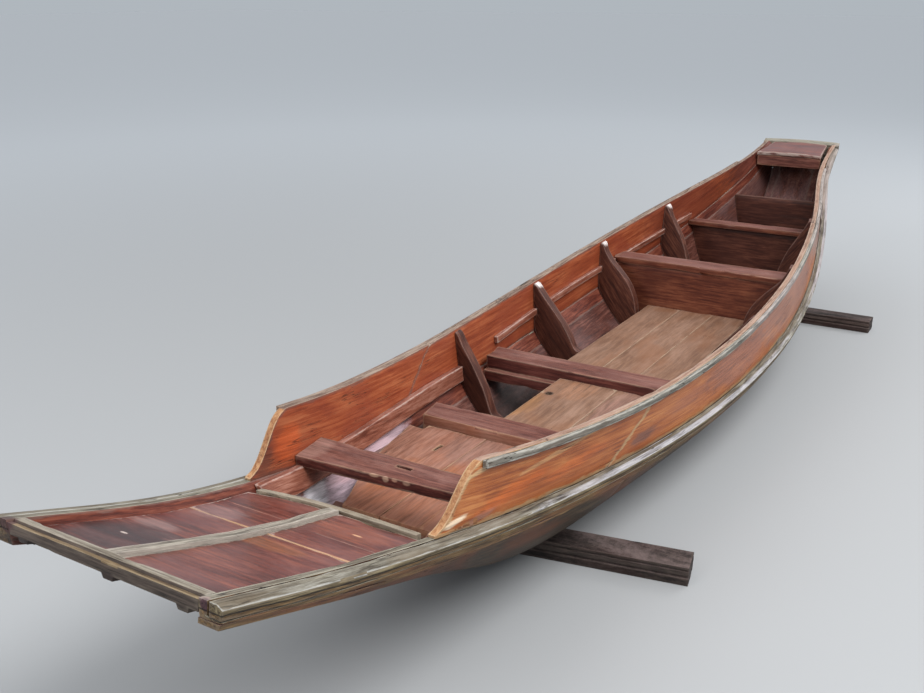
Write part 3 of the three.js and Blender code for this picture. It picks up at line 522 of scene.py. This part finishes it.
def makeFinishes():
    return {
        "rail": woodFinish(
            "greyRailWood", tones=[(64, 56, 45), (105, 97, 83), (141, 135, 119)], streak=0.7, cloudy=0.25,
            second=(102, 90, 76), secondShare=0.5, bare=(172, 166, 150), bareRim=0.0045, bareShare=0.6,
            cracks=0.95, crackTone=(34, 26, 20), dust=0.12, dustTone=(172, 170, 164), rough=(0.6, 0.85),
            bump=0.7, marks=railMarks),
        # The chamfer's paler wood and wide pale rim are a painted highlight, over real edge wear
        "railEdge": woodFinish(
            "railChamferWithPaintedHighlight", tones=[(70, 62, 52), (112, 106, 94), (150, 146, 136)], streak=0.7, cloudy=0.25,
            second=(108, 94, 76), secondShare=0.6, bare=(192, 190, 184), bareRim=0.004, bareShare=0.75,
            cracks=0.9, crackTone=(40, 32, 26), rough=(0.65, 0.9), dust=0.0, bump=0.6, marks=railMarksAndChamferHighlight),
        "railSide": woodFinish(
            "railSide", tones=[(70, 58, 42), (108, 94, 68), (150, 136, 106)], streak=0.7, cloudy=0.25,
            bands=[(-0.019, brownHull, 0.008)], seam=-0.019, cracks=0.95, crackTone=(30, 22, 18), dust=0.0,
            rough=(0.6, 0.85), bump=0.7, marks=railMarks),
        "capRail": woodFinish(
            "capRailWood", tones=[(80, 75, 67), (112, 108, 99), (142, 139, 129)], streak=0.7, cloudy=0.25,
            second=(116, 100, 88), secondShare=0.4, bare=(186, 182, 172), bareRim=0.005, bareShare=0.75,
            cracks=0.8, crackTone=(44, 34, 28), dust=0.1, rough=(0.6, 0.85), bump=0.6, marks=railMarks),
        "washTop": woodFinish(
            "washboardTop", tones=[(110, 80, 64), (146, 114, 96), (172, 142, 124)], streak=0.65, cloudy=0.25,
            second=(140, 102, 80), secondShare=0.4, bare=(182, 160, 143), bareShare=0.6, cracks=0.6,
            dust=0.1, rough=(0.6, 0.85), bump=0.4),
        "endInner": woodFinish(
            "endInnerStrip", tones=[(90, 80, 69), (124, 115, 101), (154, 146, 132)], streak=0.65, cloudy=0.25,
            bare=(168, 160, 146), bareShare=0.6, cracks=0.6, dust=0.1, rough=(0.6, 0.85), bump=0.5,
            marks=railMarks),
        "endOuter": woodFinish(
            "endOuterStrip", tones=[(72, 54, 37), (108, 89, 64), (140, 120, 92)], streak=0.65, cloudy=0.25,
            bare=(158, 140, 111), bareShare=0.5, cracks=0.6, dust=0.05, rough=(0.6, 0.85), bump=0.5,
            marks=railMarks),
        # Painted shade: the end board's sides are darker than its top, over their own grey-brown
        "endFace": woodFinish(
            "endFaceWithPaintedShade", tones=[(44, 37, 32), (72, 61, 54), (98, 85, 76)], streak=0.65, cloudy=0.25,
            bare=(124, 112, 100), bareShare=0.4, cracks=0.6, dust=0.0, rough=(0.6, 0.85), bump=0.5,
            marks=railMarks),
        "coaming": woodFinish(
            "coamingWood", tones=[(66, 54, 42), (106, 92, 76), (144, 130, 110)], streak=0.7, cloudy=0.25,
            bare=(172, 162, 144), bareShare=0.5, cracks=0.8, dust=0.1, rough=(0.6, 0.85), bump=0.5),
        "batten": woodFinish(
            "battenWood", tones=[(80, 73, 65), (126, 118, 106), (162, 154, 141)], streak=0.7, cloudy=0.25,
            bare=(192, 182, 170), bareShare=0.6, bareRim=0.004, cracks=0.8, dust=0.1,
            rough=(0.6, 0.85), bump=0.5),
        "farRail": woodFinish(
            "farRailWood", tones=[(84, 60, 50), (122, 98, 84), (158, 138, 122)], streak=0.7, cloudy=0.25,
            bare=(160, 146, 130), bareShare=0.4, cracks=0.8, dust=0.1, rough=(0.6, 0.85), bump=0.5),
        "deck": woodFinish(
            "deckVarnish", tones=[(60, 21, 16), (94, 40, 30), (132, 70, 50)], streak=0.55, cloudy=0.4,
            second=(102, 60, 57), secondShare=0.5, bare=(192, 172, 160), bareRim=0.005, bareShare=0.8,
            cracks=0.15, dust=0.3, dustTone=(130, 98, 95), rough=(0.28, 0.5), specular=0.45, coat=0.15,
            bump=0.16, marks=deckMarksAndPaintedLight),
        "washOut": woodFinish(
            "washboardOutside", tones=[(124, 60, 27), (162, 90, 43), (188, 122, 70)], streak=0.6, along=0.45,
            second=(152, 80, 38), secondShare=0.6, bare=(200, 176, 134), bareRim=0.012, bareShare=0.6,
            cracks=0.7, crackTone=(84, 44, 26), dust=0.0, rough=(0.35, 0.6), coat=0.1, bump=0.4,
            marks=washboardMarks),
        "washIn": woodFinish(
            "washboardInside", tones=[(124, 54, 32), (150, 74, 44), (174, 100, 64)], along=0.45,
            second=(130, 58, 40), secondShare=0.5, bare=(116, 84, 74), bareRim=0.008, bareShare=0.6,
            cracks=0.4, dust=0.0, rough=(0.35, 0.6), coat=0.15, bump=0.3, marks=farWashboardMarksAndPaintedShadow),
        "washEnd": woodFinish(
            "washboardEnd", tones=[(120, 74, 48), (152, 106, 70), (178, 136, 98)], bare=(204, 176, 140),
            bareRim=0.003, bareShare=0.6, cracks=0.4, dust=0.0, rough=(0.5, 0.8), bump=0.4),
        "hullOut": woodFinish(
            "hullBrown", tones=brownHull, streak=0.72, cloudy=0.22, bands=[(-0.054, darkHull, 0.03)],
            second=(122, 66, 42), secondShare=0.45, bare=(122, 106, 84), bareShare=0.2, cracks=0.9, dust=0.0,
            rough=(0.5, 0.75), bump=0.6),
        "strakeIn": woodFinish(
            "strakeInside", tones=[(62, 24, 18), (104, 48, 34), (138, 78, 58)], bare=(150, 128, 118),
            bareShare=0.4, cracks=0.3, dust=0.1, rough=(0.45, 0.7), coat=0.1, bump=0.3, marks=strakeMarks),
        "hullIn": woodFinish(
            "hullInside", tones=[(54, 26, 20), (88, 46, 36), (124, 80, 68)], second=(106, 84, 84),
            secondShare=0.4, bare=(150, 130, 120), cracks=0.3, dust=0.2, rough=(0.5, 0.75), bump=0.35,
            marks=insideMarksAndPaintedShadow),
        "ledge": woodFinish(
            "ledgeVarnish", tones=[(86, 40, 28), (130, 76, 58), (164, 114, 96)], second=(144, 88, 70),
            secondShare=0.4, bare=(196, 168, 156), bareRim=0.004, bareShare=0.7, cracks=0.3,
            dust=0.2, rough=(0.35, 0.6), coat=0.15, bump=0.3),
        "thwart": woodFinish(
            "thwartWood", tones=[(74, 36, 29), (104, 60, 49), (132, 86, 74)], second=(94, 48, 38),
            secondShare=0.45, bare=(168, 130, 104), bareRim=0.005, bareShare=0.5, cracks=0.45,
            dust=0.35, dustTone=(134, 106, 100), rough=(0.5, 0.75), bump=0.35, marks=chipMarks),
        "thwartSide": woodFinish(
            "thwartSide", tones=[(56, 24, 21), (84, 40, 34), (112, 62, 53)], second=(66, 30, 26),
            secondShare=0.45, bare=(168, 140, 122), bareRim=0.004, bareShare=0.5, cracks=0.4,
            dust=0.0, rough=(0.5, 0.75), bump=0.35, marks=chipMarks),
        "knee": woodFinish(
            "kneeWood", tones=[(42, 18, 13), (74, 38, 27), (108, 64, 48)], second=(60, 28, 20),
            secondShare=0.4, bare=(156, 122, 110), bareRim=0.004, bareShare=0.45, cracks=0.3,
            dust=0.1, rough=(0.5, 0.75), bump=0.35, marks=headMarks()),
        "bulkhead": woodFinish(
            "bulkheadVarnish", tones=[(70, 31, 22), (100, 51, 35), (130, 76, 53)], second=(72, 31, 22),
            secondShare=0.5, bare=(136, 96, 76), cracks=0.25, dust=0.15, rough=(0.4, 0.65), coat=0.1,
            bump=0.3),
        "foreBulkhead": woodFinish(
            "foreBulkheadVarnish", tones=[(50, 24, 18), (74, 38, 28), (102, 60, 46)], second=(54, 24, 18),
            secondShare=0.5, bare=(112, 80, 66), cracks=0.25, dust=0.15, rough=(0.4, 0.65), coat=0.1,
            bump=0.3),
        "floorBrown": woodFinish(
            "floorBrown", tones=[(112, 70, 52), (138, 92, 74), (160, 116, 96)], second=(146, 84, 54),
            secondShare=0.5, bare=(188, 152, 122), bareRim=0.0035, bareShare=0.8, cracks=0.4,
            dust=0.25, dustTone=(152, 126, 118), rough=(0.6, 0.85), bump=0.3, marks=floorMarksAndPaintedShade),
        "floorPale": woodFinish(
            "floorPale", tones=[(102, 72, 55), (122, 89, 69), (142, 108, 87)], second=(128, 84, 56),
            secondShare=0.5, bare=(176, 152, 128), bareRim=0.003, bareShare=0.7, cracks=0.4,
            dust=0.25, dustTone=(148, 124, 112), rough=(0.6, 0.85), bump=0.3, marks=floorMarksAndPaintedShade),
        "bearer": woodFinish(
            "bearerTimber", tones=[(22, 17, 15), (44, 35, 32), (72, 61, 56)], streak=0.65, cloudy=0.3,
            second=(60, 32, 27), secondShare=0.5, bare=(112, 98, 90), bareRim=0.004, bareShare=0.3,
            cracks=0.8, crackTone=(14, 10, 9), dust=0.75, dustTone=(116, 100, 97), rough=(0.65, 0.9),
            bump=0.6),
    }


# Shaping: each piece starts from its node's own solid
shaping = {  # metres and degrees
    "weld": 0.00002,  # corners closer than this are one
    "flatWithin": 12,  # triangles that turn less than this are one face
    "shapeWithin": 170,
    "arrisFrom": 40,  # an edge that turns more is an arris, and wears
    "sharpFrom": 48,  # an edge that turns more is shaded as sharp
    "sliceMerge": 0.0002,  # a cut this close to a vertex uses it
    "rimReach": 0.08,  # no distance to an arris is kept longer than this
    "rimNearest": 4,
}


def newObject(name, bm):
    mesh = bpy.data.meshes.new(name)
    bm.to_mesh(mesh)
    bm.free()
    piece = bpy.data.objects.new(name, mesh)
    bpy.context.scene.collection.objects.link(piece)
    return piece


def roughOut(node):
    bm = bmesh.new()
    bm.from_mesh(nodes[node].data)
    for layer in list(bm.loops.layers.uv):
        bm.loops.layers.uv.remove(layer)
    bmesh.ops.remove_doubles(bm, verts=bm.verts, dist=shaping["weld"])
    bmesh.ops.join_triangles(
        bm, faces=bm.faces, angle_face_threshold=math.radians(shaping["flatWithin"]),
        angle_shape_threshold=math.radians(shaping["shapeWithin"]))
    return bm


def arrisesOf(bm, angle):
    return [e for e in bm.edges if len(e.link_faces) == 2 and e.calc_face_angle(0) > angle]


def settle(piece):
    # The modifiers' result becomes the mesh
    graph = bpy.context.evaluated_depsgraph_get()
    mesh = bpy.data.meshes.new_from_object(piece.evaluated_get(graph))
    piece.modifiers.clear()
    old = piece.data
    piece.data = mesh
    bpy.data.meshes.remove(old)


def fairCurves(bm, name, levels, angle):
    # Rounds the runs between stations, and keeps the arrises
    crease = bm.edges.layers.float.new("crease_edge")
    for edge in arrisesOf(bm, math.radians(angle)):
        edge[crease] = 1.0
    piece = newObject(name, bm)
    rounding = piece.modifiers.new("rounding", "SUBSURF")
    rounding.levels = levels
    rounding.render_levels = levels
    settle(piece)
    bm = bmesh.new()
    bm.from_mesh(piece.data)
    bpy.data.objects.remove(piece)
    for layer in list(bm.edges.layers.float):
        bm.edges.layers.float.remove(layer)
    return bm


def sliceEvery(bm, axis, step):
    low = min(v.co[axis] for v in bm.verts)
    high = max(v.co[axis] for v in bm.verts)
    count = max(1, round((high - low) / step))
    normal = Vector((0, 0, 0))
    normal[axis] = 1
    for k in range(1, count):
        middle = Vector((0, 0, 0))
        middle[axis] = low + (high - low) * k / count
        everything = bm.verts[:] + bm.edges[:] + bm.faces[:]
        bmesh.ops.bisect_plane(
            bm, geom=everything, dist=shaping["sliceMerge"], plane_co=middle, plane_no=normal)


weathering = {
    "wobble": 0.0006,  # how far a face wavers, in metres
    "wobbleScale": 6.0,
    "chip": 0.002,  # how far an arris is knocked back where the noise is chipFrom + chipSpan
    "chipFrom": 0.25,
    "chipSpan": 0.4,
    "chipScale": 9.0,
    "chipNoise": (0.8, 2.2, 4),
    "bevel": 0.0022,
}


def weather(bm, seed, **changes):
    # Wavers the faces, knocks back the arrises where the noise says, and rounds them
    how = {**weathering, **changes}
    arrises = arrisesOf(bm, math.radians(shaping["arrisFrom"]))
    rimVerts = {v for e in arrises for v in e.verts}
    bm.normal_update()
    moves = []
    for v in bm.verts:
        drift = noise.noise(v.co * how["wobbleScale"] + Vector((seed, 0, 0))) * how["wobble"]
        knock = 0.0
        if v in rimVerts:
            rough = noise.fractal(v.co * how["chipScale"] + Vector((0, seed, 0)), *how["chipNoise"])
            knock = max(0.0, rough - how["chipFrom"]) * how["chip"] / how["chipSpan"]
        moves.append((v, v.normal * (-abs(drift) - knock)))
    for v, move in moves:
        v.co += move
    points = [tuple(v.co.copy() for v in e.verts) for e in arrises]
    bmesh.ops.bevel(
        bm, geom=arrises, offset=how["bevel"], segments=2, profile=0.5, affect="EDGES", material=-1,
        clamp_overlap=True)
    return points


def keepWithin(bm, node):
    # No vertex leaves the box of its own node
    places = [v.co for v in nodes[node].data.vertices]
    for axis in range(3):
        low = min(co[axis] for co in places)
        high = max(co[axis] for co in places)
        for v in bm.verts:
            v.co[axis] = max(low, min(high, v.co[axis]))


def rimDistance(bm, points):
    # Distance from each vertex to the nearest arris, kept as an attribute
    layer = bm.verts.layers.float.new("rim")
    tree = KDTree(len(points))
    for k, (a, b) in enumerate(points):
        tree.insert((a + b) / 2, k)
    tree.balance()
    for v in bm.verts:
        best = shaping["rimReach"]
        for _, k, _ in tree.find_n(v.co, shaping["rimNearest"]):
            a, b = points[k]
            along = b - a
            share = max(0.0, min(1.0, (v.co - a).dot(along) / max(along.length_squared, 1e-12)))
            best = min(best, (v.co - a - along * share).length)
        v[layer] = best


def railLine():
    # Height, half-breadth and run of the rail at each station, from the port gunwale
    bm = roughOut("gunwale_port")
    rows = {}
    for v in bm.verts:
        rows.setdefault(round(v.co.x, 3), []).append(v.co.copy())
    bm.free()
    xs = sorted(rows)
    heights = [max(p.z for p in rows[x]) for x in xs]
    halves = [max(p.y for p in rows[x]) for x in xs]
    runs = [0.0]
    for k in range(1, len(xs)):
        runs.append(runs[-1] + math.hypot(xs[k] - xs[k - 1], heights[k] - heights[k - 1]))
    return xs, heights, halves, runs


rail = railLine()


def flowAlongRail(co):
    xs, heights, halves, runs = rail
    height, half, run = (np.interp(co.x, xs, row) for row in (heights, halves, runs))
    return (run, co.z - height, abs(co.y) - half)


def flowAcross(co):
    return (co.y, co.x, co.z)


def flowFore(co):
    return (co.x, co.y, co.z)


kneeLean = (0.6, 0.8)  # outwards and up


def flowUpKnee(co):
    out, up = kneeLean
    return (out * abs(co.y) + up * co.z, co.x, up * abs(co.y) - out * co.z)


grainShift = (1.37, 7)


def setFlow(bm, flow, seed):
    # Where each vertex lies on the grain, which starts elsewhere for each piece
    layer = bm.verts.layers.float_vector.new("flow")
    step, span = grainShift
    shift = Vector((seed * step % span, 0, 0))
    for v in bm.verts:
        v[layer] = Vector(flow(v.co)) + shift


seeds = (k * 3.1 for k in range(1, 1000))


def dress(node, finishNames, fair=0, creaseAngle=50, slices=(), flow=flowAcross, faceFinish=None,
          holes=(), shape=None, **wear):
    # A CAD node's solid, faired, worn at its arrises and given its finish
    seed = next(seeds)
    bm = roughOut(node)
    if fair:
        bm = fairCurves(bm, node + "_draft", fair, creaseAngle)
    if holes:
        bm = cutAway(bm, node, holes)
    for axis, step in slices:
        sliceEvery(bm, axis, step)
    if shape:
        shape(bm)
    points = weather(bm, seed, **wear)
    keepWithin(bm, node)
    rimDistance(bm, points)
    setFlow(bm, flow, seed)
    for face in bm.faces:
        face.smooth = True
        face.material_index = faceFinish(face) if faceFinish else 0
    piece = newObject(node + "_dressed", bm)
    for name in finishNames:
        piece.data.materials.append(finishes[name])
    piece.data.set_sharp_from_angle(angle=math.radians(shaping["sharpFrom"]))
    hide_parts(node)
    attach(piece, bodyOf[node])
    return piece


facing = {  # how much of a face's normal points along the boat, or up
    "end": 0.6,
    "curvedEnd": 0.12,
    "edge": 0.7,
    "flatTop": 0.93,
    "chamfer": 0.35,
    "top": 0.5,
}
curveStart = at(0.75)


def plankFace(sign, ends=False):
    # 0 on the outer face, 1 on the inner face, 2 on the top edge and 3 on the ends
    def choose(face):
        curved = ends and face.calc_center_median().x < curveStart
        if abs(face.normal.x) > facing["curvedEnd" if curved else "end"]:
            return 3
        if face.normal.z > facing["edge"]:
            return 2
        return 0 if face.normal.y * sign > 0 else 1
    return choose


def railFace(face):
    # 0 on the flat top, 1 on the chamfer and 2 on the sides
    if face.normal.z > facing["flatTop"]:
        return 0
    return 1 if face.normal.z > facing["chamfer"] else 2


def topOrSide(face):
    return 0 if face.normal.z > facing["top"] else 1


def cutAway(bm, name, boxes):
    # Takes boxes, given by two corners, out of a solid
    piece = newObject(name + "_draft", bm)
    for k, (low, high) in enumerate(boxes):
        hole = bmesh.new()
        bmesh.ops.create_cube(hole, size=1)
        size = [b - a for a, b in zip(low, high)]
        bmesh.ops.scale(hole, vec=size, verts=hole.verts)
        bmesh.ops.translate(hole, vec=[(a + b) / 2 for a, b in zip(low, high)], verts=hole.verts)
        tool = newObject(f"{name}_hole_{k}", hole)
        taking = piece.modifiers.new("taking", "BOOLEAN")
        taking.object = tool
        taking.operation = "DIFFERENCE"
        taking.solver = "EXACT"
        settle(piece)
        bpy.data.objects.remove(tool)
    bm = bmesh.new()
    bm.from_mesh(piece.data)
    bpy.data.objects.remove(piece)
    return bm


endBoard = {
    "groove": sternX + 0.0135,  # between the two strips
    "half": 0.001,
    "deep": 0.009,
    "lower": 0.004,  # the outer strip
    "cuts": (-0.0065, -0.0022, 0, 0.0022, 0.008, 0.015),
    "merge": 0.0001,
}


def endBoardGroove(bm):
    # Two strips side by side along the top of the end board, the outer one a little lower
    middle, half = endBoard["groove"], endBoard["half"]
    for shift in endBoard["cuts"]:
        everything = bm.verts[:] + bm.edges[:] + bm.faces[:]
        bmesh.ops.bisect_plane(
            bm, geom=everything, dist=endBoard["merge"], plane_co=(middle + shift, 0, 0),
            plane_no=(1, 0, 0))
    bm.normal_update()
    for v in [v for v in bm.verts if v.normal.z > facing["top"] and v.co.x < middle + half]:
        v.co.z -= endBoard["deep"] if v.co.x > middle - half else endBoard["lower"]


def endBoardFace(face):
    # 0 on the inner strip, 1 on the outer strip and 2 on the sides
    if face.normal.z < facing["top"]:
        return 2
    return 0 if face.calc_center_median().x > endBoard["groove"] else 1


finishes = makeFinishes()
addCamera()
addStudio()
print("stage and finishes made")

# Dressing. "slices" are extra cuts, by axis and spacing, that give the wear its vertices.
alongRail = {"fair": 2, "flow": flowAlongRail}
tightWear = {"chip": 0.0002, "wobble": 0.0001, "bevel": 0.001}
bottomPlank = {"faceFinish": topOrSide, **alongRail, **tightWear}
gunwale = {"faceFinish": railFace, "creaseAngle": 30, "chip": 0.0025, "bevel": 0.002}
deckBoard = {"slices": ((0, 0.02), (1, 0.02))}
capFinishes = {"port": ("farRail", "farRail"), "starboard": ("capRail", "washTop")}

for side, sign in sides.items():
    strake = {"faceFinish": plankFace(sign), **alongRail}
    washboard = {"faceFinish": plankFace(sign, ends=True), **alongRail}
    capFinish, topFinish = capFinishes[side]
    for part in ("aft", "fore"):
        lower = ["hullOut", "hullIn", "hullIn", "railSide"]
        dress(f"lower_strake_{part}_{side}", lower, **strake, **tightWear)
        dress(f"washboard_{part}_{side}", ["washOut", "washIn", topFinish, "washEnd"], **washboard)
    dress(f"upper_strake_{side}", ["hullOut", "strakeIn", "rail", "railSide"], **strake)
    dress(f"gunwale_{side}", ["rail", "railEdge", "railSide"], **alongRail, **gunwale)
    dress(f"cap_rail_{side}", [capFinish], **alongRail, chip=0.003, bevel=0.0025)
    dress(f"riser_{side}", ["ledge"], **alongRail, bevel=0.003)
    dress(f"inwale_{side}", ["ledge"], **alongRail, bevel=0.002)
    dress(f"bottom_plank_{side}", ["hullIn", "hullOut"], **bottomPlank)
    dress(f"stern_deck_board_aft_{side}", ["deck"], **deckBoard)
    dress(f"stern_deck_board_fore_{side}", ["deck"], **deckBoard)
dress("bottom_plank_centre", ["hullIn", "hullOut"], **bottomPlank)
print("hull dressed")

endPieces = {
    "stern_end_board": {
        "finishNames": ["endInner", "endOuter", "endFace"], "slices": ((1, 0.02), (2, 0.008)),
        "shape": endBoardGroove, "faceFinish": endBoardFace, "chip": 0.004, "bevel": 0.002},
    "bow_end_board": {
        "finishNames": ["rail"], "slices": ((1, 0.02), (2, 0.02)), "chip": 0.003, "bevel": 0.003},
    "stern_deck_batten": {
        "finishNames": ["batten"], "slices": ((0, 0.025), (1, 0.008)), "flow": flowAlongRail, "bevel": 0.003},
    "stern_coaming": {"finishNames": ["coaming"], "slices": ((1, 0.02), (2, 0.012)), "bevel": 0.003},
    "bow_deck": {"finishNames": ["deck"], "slices": ((0, 0.02), (1, 0.03))},
    "bow_deck_beam": {"finishNames": ["thwart"], "slices": ((1, 0.03), (2, 0.012))},
}
for name, settings in endPieces.items():
    dress(name, **settings)

crossTimber = {"slices": ((0, 0.014), (1, 0.018), (2, 0.008)), "chip": 0.005, "bevel": 0.003}
crossFinishes = {
    "thwart_aft": "thwartSide",
    "thwart_mid": "bulkhead",
    "thwart_fore": "bulkhead",
    "floor_beam_aft": "floorBrown",
    "floor_beam_mid": "thwartSide",
}
for name, sideFinish in crossFinishes.items():
    dress(name, ["thwart", sideFinish], faceFinish=topOrSide, **crossTimber)
dress("floor_bearer_stern", ["thwart"], slices=((1, 0.03), (2, 0.03)))

bulkheadFinishes = {"mid": "bulkhead", "fore": "foreBulkhead", "bow": "foreBulkhead"}
for place, finishName in bulkheadFinishes.items():
    dress(f"bulkhead_{place}", [finishName], slices=((1, 0.025), (2, 0.025)))
for k in (1, 2, 3, 4):
    dress(f"frame_{k}", ["knee"], fair=2, flow=flowUpKnee, creaseAngle=72, bevel=0.003)

floorHoles = {
    "floor_aft_board_3": [  # a finger slot, and a notch at the corner
        ((at(1.193), 0.131, 0.2), (at(1.236), 0.139, 0.3)),
        ((at(1.306), 0.242, 0.2), (at(1.350), 0.300, 0.3)),
    ],
}
floorBoard = {"slices": ((0, 0.02), (1, 0.015)), "flow": flowFore, "bevel": 0.002}
floorGroups = {"aft": ("floorBrown", 3), "mid": ("floorPale", 2), "fore": ("floorPale", 3)}
for group, (finishName, boards) in floorGroups.items():
    for k in range(1, boards + 1):
        name = f"floor_{group}_board_{k}"
        dress(name, [finishName], holes=floorHoles.get(name, ()), **floorBoard)
    for k in (1, 2):
        dress(f"floor_{group}_cleat_{k}", ["thwart"], slices=((1, 0.03),))
for name in ("bearer_aft", "bearer_fore"):
    dress(name, ["bearer"], slices=((0, 0.02), (1, 0.02), (2, 0.012)), chip=0.003, bevel=0.002)
print("fittings dressed")
